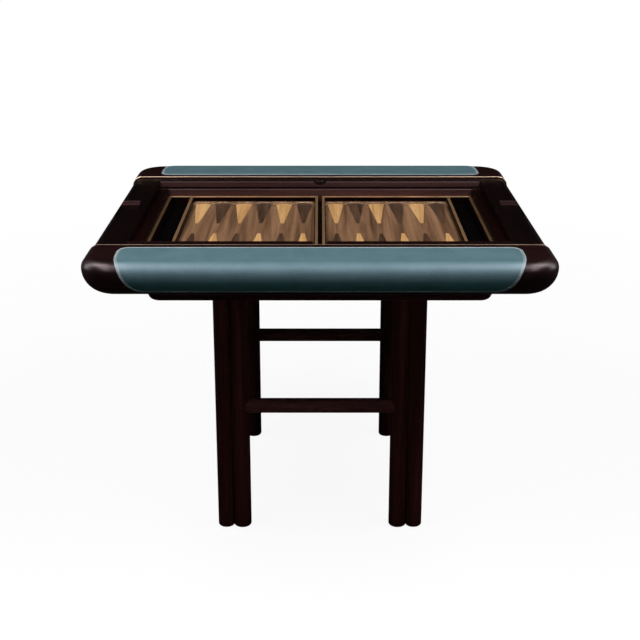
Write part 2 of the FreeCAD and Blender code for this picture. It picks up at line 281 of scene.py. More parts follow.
def nose_section(angle, sink=0.0):
    """Setback from the outermost line and height of the edge, at an angle from its top to its bottom.

    A quarter circle of the upper radius leads to the outermost line, and one of the lower radius goes
    on from it. The sink draws both circles in."""
    radius = np.where(angle < quarter_turn, nose_upper, nose_lower)
    setback = radius - (radius - sink) * np.sin(angle)
    return setback, nose_line + (radius - sink) * np.cos(angle)


def rail_path():
    """Outermost line and outward direction along the outline of the front rail, from left to right.

    Each side runs from the brass line to the corner, where a quarter circle turns it to the front."""
    groove_y = rail_line + brass_width
    side_steps = 4
    corner_steps = 28
    front_steps = 24
    right_y = np.linspace(groove_y, corner_y, side_steps)[:-1]
    right = np.stack([np.full_like(right_y, half_width), -right_y], axis=-1)
    right_out = np.tile([1.0, 0.0], (len(right), 1))
    turn = np.linspace(0, quarter_turn, corner_steps)
    corner_out = np.stack([np.cos(turn), -np.sin(turn)], axis=-1)
    corner = np.array([corner_x, -corner_y]) + corner_radius * corner_out
    half = np.concatenate([right, corner])
    half_out = np.concatenate([right_out, corner_out])
    front_x = np.linspace(-corner_x, corner_x, front_steps)[1:-1]
    front = np.stack([front_x, np.full_like(front_x, -half_depth)], axis=-1)
    front_out = np.tile([0.0, -1.0], (len(front), 1))
    flip = np.array([-1.0, 1.0])
    outline = np.concatenate([half * flip, front, half[::-1]])
    outs = np.concatenate([half_out * flip, front_out, half_out[::-1]])
    return outline, outs


def flat_rows(starts):
    """Row close to the start of a flat, which keeps the shading crisp, and row at the brass line."""
    support = 0.0015
    inner = np.stack([starts[:, 0], np.full(len(starts), -rail_line - brass_width)], axis=-1)
    reach = np.linalg.norm(inner - starts, axis=-1, keepdims=True)
    share = np.minimum(support / np.maximum(reach, support), 1.0)
    return starts + (inner - starts) * share, inner


def front_rail_parts():
    """The edge carried along the outline, its flats drawn in to the brass line, and the inner end.

    A section of the sweep runs from the brass line over the top flat, round the nose and back under
    the bottom. The inner end is the outline of the section's ends, stepped down under the brass."""
    upper_steps = 20
    lower_steps = 24
    angle = np.concatenate([np.linspace(0, quarter_turn, upper_steps, endpoint=False),
                            np.linspace(quarter_turn, math.pi, lower_steps + 1)])
    setback, level = nose_section(angle)
    outline, outs = rail_path()
    plan = outline[:, None, :] - setback[None, :, None] * outs[:, None, :]
    top_close, top_inner = flat_rows(plan[:, 0])
    low_close, low_inner = flat_rows(plan[:, -1])
    plan = np.concatenate([top_inner[:, None], top_close[:, None], plan,
                           low_close[:, None], low_inner[:, None]], axis=1)
    level = np.concatenate([[top_height, top_height], level, [top_bottom, top_bottom]])
    height = np.broadcast_to(level, plan.shape[:2])[..., None]
    sweep = np.concatenate([plan, height], axis=-1)
    groove_y = rail_line + brass_width
    rows = []
    for y, sink in ((groove_y, 0.0), (groove_y, brass_depth), (rail_line, brass_depth)):
        setback, level = nose_section(angle, sink)
        right = np.stack([half_width - setback, level], axis=-1)
        left = (right * [-1, 1])[::-1]
        top = np.stack([top_inner[:, 0], np.full(len(top_inner), top_height - sink)], axis=-1)
        bottom = np.stack([low_inner[:, 0], np.full(len(low_inner), top_bottom)], axis=-1)[::-1]
        loop = np.concatenate([left, top, right, bottom])
        rows.append(np.stack([loop[:, 0], np.full(len(loop), -y), loop[:, 1]], axis=-1))
    return sweep, np.array(rows)


def dress_rails(wood):
    """Front rail, and the rear one turned half round."""
    sweep, rows = front_rail_parts()
    for end, moved in ends:
        node = end + "_rail"
        piece = piece_of(node + "_dressed", [(moved(sweep), False), (moved(rows), True)], [moved(rows[-1])])
        stands_for(piece, node, wood)


# Leather arm pads

def wrap_angle(wrap):
    """Angle round the edge at a distance wrapped over the rail: level, then the upper and lower circle."""
    past = np.clip(wrap - flat_reach, 0, None)
    upper = np.minimum(past, upper_reach) / nose_upper
    return upper + np.clip(past - upper_reach, 0, None) / nose_lower


def rail_surface(x, wrap):
    """Points and outward normals on the front rail, at x along it and a distance wrapped over it.

    The wrap runs level from the pad's inner edge to the start of the nose and then round the nose.
    Past the straight stretch the nose turns with the ring of the corner."""
    angle = wrap_angle(wrap)
    setback, height = nose_section(angle)
    ring = corner_radius - setback
    turn = np.arcsin(np.clip(np.abs(x) - corner_x, 0, None) / ring) * np.sign(x)
    nose_y = corner_y + ring * np.cos(turn)
    level = np.clip(wrap / flat_reach, 0, 1)
    y = np.where(wrap < flat_reach, pad_edge + level * (nose_y - pad_edge), nose_y)
    points = np.stack([x, -y, height], axis=-1)
    normals = np.stack([np.sin(angle) * np.sin(turn), -np.sin(angle) * np.cos(turn), np.cos(angle)], axis=-1)
    return points, normals


def pad_outline(count):
    """Outline of a pad in x and wrap from the middle of its right end, its inward normals and its length.

    The half length is drawn in along a short quarter ellipse at the inner edge, and a long one over the
    nose. The half round the nose and the half round the inner edge have as many points each, evenly
    spaced."""
    end_steps = 400
    share = (1 - np.cos(np.linspace(0, math.pi, end_steps + 1))) / 2
    wrap = share * wrap_length
    above = np.clip(1 - wrap / plan_run, 0, 1)
    below = np.clip(1 - (wrap_length - wrap) / front_run, 0, 1)
    half = pad_half - plan_side * (1 - np.sqrt(1 - above ** 2)) - front_side * (1 - np.sqrt(1 - below ** 2))
    right = np.stack([half, wrap], axis=-1)
    left = np.stack([-half, wrap], axis=-1)[::-1]
    loop = np.concatenate([right[end_steps // 2:], left, right[:end_steps // 2 + 1]])
    walked = np.concatenate([[0], np.cumsum(np.linalg.norm(np.diff(loop, axis=0), axis=-1))])
    left_middle = walked[end_steps + 1]
    even = np.concatenate([np.linspace(0, left_middle, count // 2, endpoint=False),
                           np.linspace(left_middle, walked[-1], count // 2, endpoint=False)])
    outline = np.stack([np.interp(even, walked, loop[:, 0]), np.interp(even, walked, loop[:, 1])], axis=-1)
    along = np.roll(outline, -1, axis=0) - np.roll(outline, 1, axis=0)
    along /= np.linalg.norm(along, axis=-1, keepdims=True)
    inward = np.stack([-along[:, 1], along[:, 0]], axis=-1)
    return outline, inward, walked[-1]


def pad_height(inset):
    """Height of the leather over the rail: a rounded welt at the rim, a sewn valley, then a soft pillow."""
    across = np.clip(inset / welt_width, 0, 1)
    bead = -rim_sink + (valley_height + rim_sink) * across
    bead = bead + welt_height * np.sqrt(np.clip(1 - (2 * across - 1) ** 2, 0, None))
    rise = np.clip((inset - welt_width) / pillow_reach, 0, 1)
    pillow = valley_height + (pillow_height - valley_height) * (1 - (1 - rise) ** 3)
    return np.where(inset < welt_width, bead, pillow)


def pad_grid():
    """Rings that follow the outline inwards and close on a line along the middle, over a thin backing.

    The points of the outline that face each other over the line meet in one point of it."""
    fan_start = 0.014
    border_rows = 12
    fan_rows = 39
    outline, inward, _ = pad_outline(pad_columns)
    middle = wrap_length / 2
    near = np.concatenate([np.linspace(0, welt_width, welt_rows + 1),
                           np.linspace(welt_width, fan_start, border_rows + 1)[1:]])
    share = np.linspace(0, 1, fan_rows + 1)[1:]
    inset = np.concatenate([near, fan_start + share * (middle - fan_start)])
    near_rings = outline[None] + near[:, None, None] * inward[None]
    opposite_x = np.roll(outline[::-1, 0], 1)
    spine_x = np.clip((outline[:, 0] + opposite_x) / 2, middle - pad_half, pad_half - middle)
    spine = np.stack([spine_x, np.full(len(spine_x), middle)], axis=-1)
    far_rings = near_rings[-1][None] + share[:, None, None] * (spine - near_rings[-1])[None]
    top = np.concatenate([near_rings, far_rings])
    points, normals = rail_surface(top[..., 0], top[..., 1])
    leather = points + pad_height(inset)[:, None, None] * normals
    back_share = np.linspace(1, 0, backing_rows)
    back = outline[None] + back_share[:, None, None] * (spine - outline)[None]
    back_points, back_normals = rail_surface(back[..., 0], back[..., 1])
    backing = back_points - backing_depth * back_normals
    return np.concatenate([backing, leather])


def pad_stitches():
    """Short threads round the border, each a flattened spindle laid along the seam and half sunk."""
    _, _, length = pad_outline(pad_columns)
    outline, inward, _ = pad_outline(round(length / stitch_pitch) * 2)
    seam = outline + stitch_inset * inward
    points, normals = rail_surface(seam[:, 0], seam[:, 1])
    points = points + pad_height(np.array([stitch_inset]))[0] * normals
    centre = points[::2]
    along = (np.roll(points, -1, axis=0) - np.roll(points, 1, axis=0))[::2]
    along /= np.linalg.norm(along, axis=-1, keepdims=True)
    up = normals[::2]
    across = np.cross(up, along)
    lengthwise, round_about = np.meshgrid(np.linspace(0, math.pi, stitch_rings),
                                          np.linspace(0, 2 * math.pi, stitch_sides + 1)[:-1], indexing="ij")
    girth = np.sqrt(np.sin(lengthwise))
    u = -np.cos(lengthwise) * stitch_length / 2
    v = girth * np.cos(round_about) * stitch_width / 2
    w = girth * np.sin(round_about) * stitch_height / 2
    return (centre[:, None, None] + u[None, ..., None] * along[:, None, None]
            + v[None, ..., None] * across[:, None, None] + w[None, ..., None] * up[:, None, None])


def dress_pads(leather, welt, thread):
    """Front and rear pad with a pale welt at the rim, and their stitching."""
    grid = pad_grid()
    strips = np.zeros((len(grid) - 1, pad_columns), dtype=np.int32)
    strips[backing_rows - 1:backing_rows + welt_rows] = 1
    threads = pad_stitches()
    for end, moved in ends:
        node = end + "_arm_pad"
        pad = piece_of(node + "_leather", [(moved(grid), True)], sharp=soft_fold, marks=strips.ravel())
        stands_for(pad, node, leather)
        pad.data.materials.append(welt)
        stitches = piece_of(end + "_pad_stitches", [(moved(stitch), True) for stitch in threads],
                            sharp=soft_fold)
        stitches.data.materials.append(thread)
        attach(stitches, "table")


# Legs, stretchers and box

def post_grid(axis_x, axis_y, radius, flat):
    """Upright post, a circle carried up whose side at the flat is cut off, with a quarter-round foot."""
    post_sides = 96
    foot_steps = 8
    sole_share = 0.9
    shaft_start = 0.02
    low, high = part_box("front_right_inner_post")
    angle = np.linspace(0, 2 * math.pi, post_sides + 1)[:-1]
    ease = np.linspace(0, quarter_turn, foot_steps + 1)
    foot_radius = radius - foot_round + foot_round * np.sin(ease)
    foot_height = low.z + foot_round - foot_round * np.cos(ease)
    radii = np.concatenate([[0.0, (radius - foot_round) * sole_share], foot_radius, [radius, radius, 0.0]])
    heights = np.concatenate([[low.z, low.z], foot_height, [low.z + shaft_start, high.z, high.z]])
    towards = math.copysign(1, flat - axis_x)
    side = np.minimum(radii[:, None] * np.cos(angle)[None], abs(flat - axis_x))
    x = axis_x + towards * side
    y = axis_y + radii[:, None] * np.sin(angle)[None]
    z = np.broadcast_to(heights[:, None], x.shape)
    return np.stack([x, y, z], axis=-1)


def dress_legs(wood):
    """Both posts of the four legs, each round its own axis."""
    for end in ("front", "rear"):
        for side in ("left", "right"):
            inner_low, inner_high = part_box(f"{end}_{side}_inner_post")
            middle_y = (inner_low.y + inner_high.y) / 2
            flat = inner_high.x if side == "right" else inner_low.x
            for post, radius in (("inner", inner_post_radius), ("outer", outer_post_radius)):
                node = f"{end}_{side}_{post}_post"
                low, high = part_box(node)
                far_side = high.x if (post == "outer") == (side == "right") else low.x
                axis_x = far_side - radius * math.copysign(1, far_side - flat)
                piece = piece_of(node + "_dressed", [(post_grid(axis_x, middle_y, radius, flat), True)])
                stands_for(piece, node, wood)


def stretcher_grid(node):
    """Round bar between the inner posts, whose ends follow the posts' own curve."""
    bar_sides = 72
    near_end = 0.9
    low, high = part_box(node)
    post_low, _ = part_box("rear_right_inner_post")
    axis_x = post_low.x + inner_post_radius
    middle_y = (low.y + high.y) / 2
    middle_z = (low.z + high.z) / 2
    angle = np.linspace(0, 2 * math.pi, bar_sides + 1)[:-1]
    end = axis_x - np.sqrt(inner_post_radius ** 2 - (stretcher_radius * np.cos(angle)) ** 2)
    share = np.array([-1.0, -1.0, -near_end, 0.0, near_end, 1.0, 1.0])
    width = np.array([0.0, 1.0, 1.0, 1.0, 1.0, 1.0, 0.0])
    x = share[:, None] * end[None]
    x[[0, -1]] = share[[0, -1], None] * (axis_x - inner_post_radius)
    y = middle_y + width[:, None] * stretcher_radius * np.cos(angle)[None]
    z = middle_z + width[:, None] * stretcher_radius * np.sin(angle)[None]
    return np.stack([x, y, z], axis=-1)


def apron_section():
    """Inset from the face and height, round an apron: down the face, round the lower edge, up the back."""
    ease = np.linspace(0, quarter_turn, box_steps + 1)
    inset = np.concatenate([[apron_thickness, 0.0], box_round - box_round * np.cos(ease),
                            [apron_thickness]])
    height = np.concatenate([[top_bottom, top_bottom], box_bottom + box_round - box_round * np.sin(ease),
                             [box_bottom]])
    return inset, height


def apron_grid(half_long, half_deep, along_x):
    """Apron carried along one side of the box, from the mitre of one round corner to the next."""
    inset, height = apron_section()
    turn = np.linspace(quarter_turn / 2, quarter_turn, box_steps + 1)
    corner = np.stack([np.cos(turn), np.sin(turn)], axis=-1)
    centre = np.array([half_long - box_corner, half_deep - box_corner])
    outs = np.concatenate([corner, corner[::-1] * [-1, 1]])
    bases = np.concatenate([np.tile(centre, (len(corner), 1)),
                            np.tile(centre * [-1, 1], (len(corner), 1))])
    plan = bases[:, None] + outs[:, None] * (box_corner - inset[None, :, None])
    if not along_x:
        plan = plan[..., ::-1]
    z = np.broadcast_to(height[None, :, None], (*plan.shape[:2], 1))
    return np.concatenate([plan, z], axis=-1)


def dress_box(wood, lit_bar):
    """Aprons along X at the front and rear, and along Y at the sides, with stretchers below."""
    rear = apron_grid(box_x, box_y, True)
    right = apron_grid(box_y, box_x, False)
    aprons = (("rear_apron", rear), ("front_apron", half_turned(rear)),
              ("right_apron", right), ("left_apron", half_turned(right)))
    for node, grid in aprons:
        lengthwise = np.swapaxes(grid, 0, 1)
        closed = np.concatenate([lengthwise, lengthwise[:1]])
        piece = piece_of(node + "_dressed", [(closed, False)], [grid[0], grid[-1]])
        stands_for(piece, node, wood)
    for node in ("front_stretcher", "rear_stretcher"):
        piece = piece_of(node + "_dressed", [(stretcher_grid(node), True)])
        stands_for(piece, node, lit_bar)


# Brass caps and inlaid points

def prisms_of(plans, bottom, top):
    """Upright prisms on plans of four corners each, as rings at the bottom and the top."""
    levels = []
    for level in (bottom, top):
        levels.append(np.concatenate([plans, np.full((*plans.shape[:2], 1), level)], axis=-1))
    return np.stack(levels, axis=1)


def prism_piece(name, prisms):
    """One mesh of closed prisms."""
    rings = [ring for prism in prisms for ring in prism]
    return piece_of(name, [(prism, True) for prism in prisms], rings)


def cap_plan(side, wall):
    """Corners of the brass bar on a wall: the plan of the wall less a ledge at the side towards the field.

    The long bars run on to the bars at the front and the rear, with hairline joints."""
    low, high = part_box(f"{side}_tray_{wall}")
    field_low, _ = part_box(side + "_field_panel")
    left, right, near, far = low.x, high.x, low.y, high.y
    if wall == "front_wall":
        far -= cap_ledge
    elif wall == "rear_wall":
        near += cap_ledge
    else:
        near -= cap_ledge - cap_joint
        far += cap_ledge - cap_joint
        if low.x < field_low.x:
            right -= cap_ledge
        else:
            left += cap_ledge
    return [(left, near), (right, near), (right, far), (left, far)]


def dress_caps(finish):
    """Flat brass bars on the walls of the trays."""
    for side in ("left", "right"):
        node = side + "_tray_caps"
        low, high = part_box(node)
        plans = np.array([cap_plan(side, wall) for wall in tray_walls])
        piece = prism_piece(node + "_dressed", prisms_of(plans, low.z, high.z))
        ease_edges(piece, brass_ease)
        stands_for(piece, node, finish)


def point_prisms(side, tone, start):
    """Flat prisms, wide at the base by the rests and blunt at the tip, one in each place along the field.

    They take turns between the rear row and the front row, and the start says which places are rear."""
    low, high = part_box(side + "_field_panel")
    inlay_low, inlay_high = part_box(f"{side}_{tone}_points")
    column = np.arange(points_per_row)
    row = np.where(column % 2 == start, 1.0, -1.0)
    middle = low.x + (column + 0.5) * (high.x - low.x) / points_per_row
    base_y = inlay_high.y
    tip_y = base_y - point_length
    across = np.array([-point_base, point_base, point_tip, -point_tip]) / 2
    along = np.array([base_y, base_y, tip_y, tip_y])
    plans = np.stack([middle[:, None] + across[None], row[:, None] * along[None]], axis=-1)
    return prisms_of(plans, inlay_low.z, inlay_high.z + point_proud)


def dress_points(light, dark):
    """Light and dark points of both fields."""
    for side in ("left", "right"):
        for tone, start, finish in (("light", 0, light), ("dark", 1, dark)):
            node = f"{side}_{tone}_points"
            piece = prism_piece(node + "_inlaid", point_prisms(side, tone, start))
            stands_for(piece, node, finish)


# Finishes

unshaded = (1.0, 1.0, 1.0)
tone_stops = (0.3, 0.7)


def new_finish(name):
    """An empty finish; gives the material, its node tree and its shader."""
    finish = bpy.data.materials.new(name)
    finish.use_nodes = True
    return finish, finish.node_tree, finish.node_tree.nodes["Principled BSDF"]


def add_node(tree, kind, inputs=None, **settings):
    """One node with its settings; an input is a value, or a socket that is linked to it."""
    node = tree.nodes.new(kind)
    for key, value in settings.items():
        setattr(node, key, value)
    for key, value in (inputs or {}).items():
        if isinstance(value, bpy.types.NodeSocket):
            tree.links.new(value, node.inputs[key])
        else:
            node.inputs[key].default_value = value
    return node


def ramp(tree, value, stops):
    """Colour that follows a value through (place, colour) stops."""
    node = add_node(tree, "ShaderNodeValToRGB", {"Fac": value})
    elements = node.color_ramp.elements
    while len(elements) < len(stops):
        elements.new(0.5)
    for element, (position, colour) in zip(elements, stops):
        element.position = position
        element.color = (*colour, 1)
    return node.outputs["Color"]


def between_tones(tree, value, low, high):
    """Colour between two tones that follows a noise."""
    return ramp(tree, value, list(zip(tone_stops, (low, high))))


def span(tree, value, low, high, start=0.0, end=1.0):
    """A value between start and end moved to lie between low and high."""
    moved = add_node(tree, "ShaderNodeMapRange", {"Value": value, "From Min": start, "From Max": end,
                                                  "To Min": low, "To Max": high})
    return moved.outputs["Result"]


def blend(tree, share, first, second):
    """A value that goes from the first to the second as the share goes from 0 to 1."""
    return add_node(tree, "ShaderNodeMix", {0: share, 2: first, 3: second}, data_type="FLOAT").outputs[0]


def combined(tree, operation, first, second):
    """Two values put together by an operation."""
    return add_node(tree, "ShaderNodeMath", {0: first, 1: second}, operation=operation).outputs[0]


def multiply(tree, first, second):
    """Two colours multiplied."""
    factor, first_colour, second_colour, colour = 0, 6, 7, 2
    node = add_node(tree, "ShaderNodeMix", data_type="RGBA", blend_type="MULTIPLY")
    node.inputs[factor].default_value = 1.0
    tree.links.new(first, node.inputs[first_colour])
    tree.links.new(second, node.inputs[second_colour])
    return node.outputs[colour]


def spread(tree, along, across, axis):
    """Object coordinates with few cells for each metre along the grain and many across it."""
    scale = [across, across, across]
    scale[axis] = along
    coordinates = add_node(tree, "ShaderNodeTexCoord").outputs["Object"]
    return add_node(tree, "ShaderNodeMapping", {"Vector": coordinates, "Scale": scale}).outputs["Vector"]


def noise(tree, vector, scale=1.0, detail=3.0, distortion=0.0):
    """Noise between 0 and 1."""
    return add_node(tree, "ShaderNodeTexNoise", {"Vector": vector, "Scale": scale, "Detail": detail,
                                                 "Distortion": distortion}).outputs["Fac"]


def bump(tree, shader, height, distance, strength=1.0):
    """Surface relief of a depth in metres."""
    node = add_node(tree, "ShaderNodeBump", {"Height": height, "Distance": distance, "Strength": strength})
    tree.links.new(node.outputs["Normal"], shader.inputs["Normal"])


def wood_finish(name, axis, colours, gloss, specular, figure=(2.5, 55.0), tint=unshaded):
    """Lacquered wood: a drawn-out figure in three tones, fine dark pores along the grain, a satin gloss.

    The figure gives its cells for each metre along and across the grain, and the axis is the grain's."""
    figure_stops = (0.32, 0.5, 0.68)
    line_along, line_across = 2, 7
    line_shade, line_start, line_end = (0.82, 0.80, 0.78), 0.35, 0.6
    pore_shade, pore_start, pore_end = (0.72, 0.72, 0.72), 0.36, 0.45
    pore_along, pore_across, pore_depth = 45, 1500, 0.00006
    finish, tree, shader = new_finish(name)
    along, across = figure
    streaks = noise(tree, spread(tree, along, across, axis), detail=5, distortion=0.6)
    line_cells = spread(tree, along * line_along, across * line_across, axis)
    lines = noise(tree, line_cells, detail=2, distortion=0.3)
    tone = ramp(tree, streaks, list(zip(figure_stops, colours)))
    fine = ramp(tree, lines, [(line_start, line_shade), (line_end, unshaded)])
    pores = noise(tree, spread(tree, pore_along, pore_across, axis), detail=1)
    pore_tone = ramp(tree, pores, [(pore_start, pore_shade), (pore_end, unshaded)])
    colour = multiply(tree, multiply(tree, tone, fine), pore_tone)
    tree.links.new(colour, shader.inputs["Base Color"])
    tree.links.new(span(tree, streaks, gloss[0], gloss[1]), shader.inputs["Roughness"])
    shader.inputs["Specular IOR Level"].default_value = specular
    shader.inputs["Specular Tint"].default_value = (*tint, 1)
    bump(tree, shader, pores, pore_depth, strength=0.35)
    return finish


def leather_finish(name, low, high, grain, painted_light):
    """Grained leather: soft mottling, a pebble grain in relief and a satin surface.

    The painted light gives (height, shade) stops: a painted highlight lighter over the nose and painted
    shade darker under it."""
    cool_tint = (0.78, 0.86, 1.0)
    fleck_low, fleck_high = (0.86, 0.86, 0.86), (1.08, 1.08, 1.08)
    pebble_depth = 0.00022
    finish, tree, shader = new_finish(name)
    coordinates = add_node(tree, "ShaderNodeTexCoord").outputs["Object"]
    mottle = noise(tree, coordinates, scale=22, detail=4, distortion=0.4)
    speck = noise(tree, coordinates, scale=420, detail=2)
    tone = between_tones(tree, mottle, low, high)
    fleck = between_tones(tree, speck, fleck_low, fleck_high)
    height = add_node(tree, "ShaderNodeSeparateXYZ", {"Vector": coordinates}).outputs["Z"]
    level = span(tree, height, 0.0, 1.0, pad_bottom, top_height)
    reach = top_height - pad_bottom
    # Base colour scaled by height: a painted highlight over the nose, painted shade under it
    painted_light_tone = ramp(tree, level, [((stop - pad_bottom) / reach, shade) for stop, shade in painted_light])
    tree.links.new(multiply(tree, multiply(tree, tone, fleck), painted_light_tone), shader.inputs["Base Color"])
    tree.links.new(span(tree, speck, low=0.40, high=0.50), shader.inputs["Roughness"])
    shader.inputs["Specular IOR Level"].default_value = 0.9
    shader.inputs["Specular Tint"].default_value = (*cool_tint, 1)
    pebbles = add_node(tree, "ShaderNodeTexVoronoi", {"Vector": coordinates, "Scale": grain},
                       feature="SMOOTH_F1").outputs["Distance"]
    bump(tree, shader, pebbles, pebble_depth, strength=0.45)
    return finish


def brass_finish(name, low, high, gloss, relief):
    """Satin brass with fine brush lines and slight tarnish."""
    brush_depth = 0.00003
    finish, tree, shader = new_finish(name)
    coordinates = add_node(tree, "ShaderNodeTexCoord").outputs["Object"]
    brushed = noise(tree, coordinates, scale=900, detail=2)
    patina = noise(tree, coordinates, scale=14, detail=4, distortion=0.5)
    tree.links.new(between_tones(tree, patina, low, high), shader.inputs["Base Color"])
    tree.links.new(span(tree, brushed, gloss[0], gloss[1]), shader.inputs["Roughness"])
    shader.inputs["Metallic"].default_value = 1.0
    bump(tree, shader, brushed, brush_depth, strength=relief)
    return finish


def cloth_finish(name, low, high):
    """Pressed wool felt: matted fibres in two tones with a soft nap."""
    nap_depth = 0.0004
    finish, tree, shader = new_finish(name)
    coordinates = add_node(tree, "ShaderNodeTexCoord").outputs["Object"]
    fibres = noise(tree, coordinates, scale=700, detail=4, distortion=1.2)
    tree.links.new(between_tones(tree, fibres, low, high), shader.inputs["Base Color"])
    shader.inputs["Roughness"].default_value = 0.95
    shader.inputs["Specular IOR Level"].default_value = 0.0
    bump(tree, shader, fibres, nap_depth, strength=0.5)
    return finish


def steel_finish():
    """Zinc-plated steel with a mottled dull shine."""
    finish, tree, shader = new_finish("zinc_plated_steel")
    coordinates = add_node(tree, "ShaderNodeTexCoord").outputs["Object"]
    spangle = noise(tree, coordinates, scale=260)
    tone = between_tones(tree, spangle, (0.42, 0.43, 0.44), (0.62, 0.62, 0.62))
    tree.links.new(tone, shader.inputs["Base Color"])
    tree.links.new(span(tree, spangle, low=0.3, high=0.5), shader.inputs["Roughness"])
    shader.inputs["Metallic"].default_value = 1.0
    return finish


def thread_finish():
    """Waxed linen thread, pale, with a twisted sheen."""
    twist_depth = 0.0001
    finish, tree, shader = new_finish("waxed_thread")
    coordinates = add_node(tree, "ShaderNodeTexCoord").outputs["Object"]
    twist = noise(tree, coordinates, scale=1600, detail=2)
    tone = between_tones(tree, twist, (0.45, 0.47, 0.45), (0.62, 0.63, 0.60))
    tree.links.new(tone, shader.inputs["Base Color"])
    shader.inputs["Roughness"].default_value = 0.6
    bump(tree, shader, twist, twist_depth, strength=0.4)
    return finish


# Dressing the nodes

grain_x = 0
grain_y = 1
grain_z = 2
satin = (0.29, 0.37)
dull = (0.34, 0.44)
polish = (0.18, 0.26)
veneer_gloss = (0.36, 0.46)
field_figure = (1.6, 42.0)
point_figure = (3.0, 70.0)
sheen_tint = (1.0, 0.78, 0.85)
leg_tint = (1.0, 0.6, 0.55)

rail_tones = ((0.0050, 0.0006, 0.0005), (0.0088, 0.0010, 0.0009), (0.0135, 0.0018, 0.0016))
rail_wood = wood_finish("dark_wood_along_x", grain_x, rail_tones, satin, specular=0.40, tint=sheen_tint)
tray_wood = wood_finish("dark_wood_along_y", grain_y, rail_tones, satin, specular=0.40, tint=sheen_tint)
panel_tones = ((0.0013, 0.0002, 0.0003), (0.0024, 0.0004, 0.0004), (0.0037, 0.0007, 0.0007))
panel_wood = wood_finish("dark_wood_of_panels", grain_y, panel_tones, (0.30, 0.38), specular=0.15,
                         tint=sheen_tint)
ledge_tones = ((0.0036, 0.0006, 0.0005), (0.0064, 0.0011, 0.0009), (0.0100, 0.0019, 0.0016))
ledge_wood = wood_finish("dark_wood_of_ledges", grain_x, ledge_tones, dull, specular=0.14, tint=sheen_tint)
well_tones = ((0.0024, 0.0004, 0.0004), (0.0042, 0.0008, 0.0007), (0.0066, 0.0014, 0.0012))
well_wood = wood_finish("dark_wood_in_well", grain_y, well_tones, dull, specular=0.05, tint=sheen_tint)
box_tones = ((0.0090, 0.0022, 0.0022), (0.0150, 0.0038, 0.0038), (0.0220, 0.0058, 0.0058))
box_wood = wood_finish("dark_wood_of_box", grain_x, box_tones, dull, specular=0.05, tint=sheen_tint)
leg_tones = ((0.0170, 0.0046, 0.0042), (0.0270, 0.0076, 0.0068), (0.0380, 0.0112, 0.0100))
leg_wood = wood_finish("dark_wood_along_z", grain_z, leg_tones, dull, specular=0.03, tint=leg_tint)
# A lighter copy of the leg wood for the stretchers, standing in for the light on them: painted light
stretcher_lit_tones = ((0.040, 0.0132, 0.0135), (0.057, 0.0200, 0.0204), (0.075, 0.0280, 0.0280))
stretcher_lit_wood = wood_finish("stretcher_wood_painted_light", grain_x, stretcher_lit_tones, dull, specular=0.03, tint=leg_tint)
# A lighter copy of the dark wood for upright faces turned front and rear: painted light
lit_face_tones = ((0.044, 0.020, 0.0195), (0.064, 0.030, 0.0290), (0.086, 0.042, 0.0405))
lit_face_wood = wood_finish("painted_lit_faces", grain_x, lit_face_tones, dull, specular=0.05, tint=sheen_tint)
# Lighter wood for lips and eased edges: a painted highlight
edge_highlight_tones = ((0.062, 0.036, 0.035), (0.084, 0.050, 0.049), (0.106, 0.064, 0.062))
edge_highlight_wood = wood_finish("painted_edge_highlights", grain_x, edge_highlight_tones, (0.32, 0.42), specular=0.2, tint=sheen_tint)
walnut_tones = ((0.078, 0.038, 0.020), (0.180, 0.094, 0.048), (0.285, 0.155, 0.082))
walnut = wood_finish("walnut_field", grain_y, walnut_tones, veneer_gloss, specular=0.3, figure=field_figure)
rest_tones = ((0.150, 0.080, 0.042), (0.230, 0.130, 0.072), (0.320, 0.190, 0.110))
rest_wood = wood_finish("polished_walnut_rests", grain_y, rest_tones, polish, specular=1.0,
                        figure=field_figure)
# Pale golden wood for the eased rims of the rests: a painted highlight
rim_highlight_tones = ((0.38, 0.25, 0.13), (0.50, 0.34, 0.19), (0.62, 0.44, 0.26))
rim_highlight_wood = wood_finish("painted_rim_highlights", grain_y, rim_highlight_tones, polish, specular=1.0, figure=field_figure)
light_tones = ((0.44, 0.235, 0.086), (0.55, 0.312, 0.124), (0.64, 0.380, 0.164))
light_veneer = wood_finish("light_point_veneer", grain_y, light_tones, veneer_gloss, specular=0.3,
                           figure=point_figure)
dark_point_tones = ((0.035, 0.018, 0.010), (0.062, 0.032, 0.018), (0.095, 0.050, 0.029))
dark_veneer = wood_finish("dark_point_veneer", grain_y, dark_point_tones, veneer_gloss, specular=0.3,
                          figure=point_figure)
ply_tones = ((0.016, 0.008, 0.006), (0.026, 0.013, 0.010), (0.036, 0.018, 0.014))
plywood = wood_finish("stained_plywood", grain_x, ply_tones, (0.45, 0.6), specular=0.25)
beech_tones = ((0.44, 0.29, 0.16), (0.55, 0.38, 0.22), (0.62, 0.45, 0.28))
beech = wood_finish("plain_beech", grain_y, beech_tones, (0.5, 0.6), specular=0.3, figure=(6.0, 160.0))
brass = brass_finish("satin_brass", (0.66, 0.41, 0.21), (0.82, 0.52, 0.28), gloss=(0.36, 0.48), relief=0.3)
line_brass = brass_finish("pale_brass_line", (0.72, 0.52, 0.36), (0.82, 0.60, 0.43), gloss=(0.40, 0.46),
                          relief=0.1)
# Painted light on the teal leather by height: painted shade darker under the nose, a painted highlight
# lighter over it
teal_painted_light = ((0.680, (0.08, 0.34, 0.28)), (0.702, (0.24, 0.52, 0.48)), (0.716, (0.98, 1.06, 1.06)),
             (0.727, (1.30, 1.23, 1.25)), (0.738, (1.28, 1.22, 1.24)), (0.7441, (1.12, 1.10, 1.11)),
             (0.7457, unshaded))
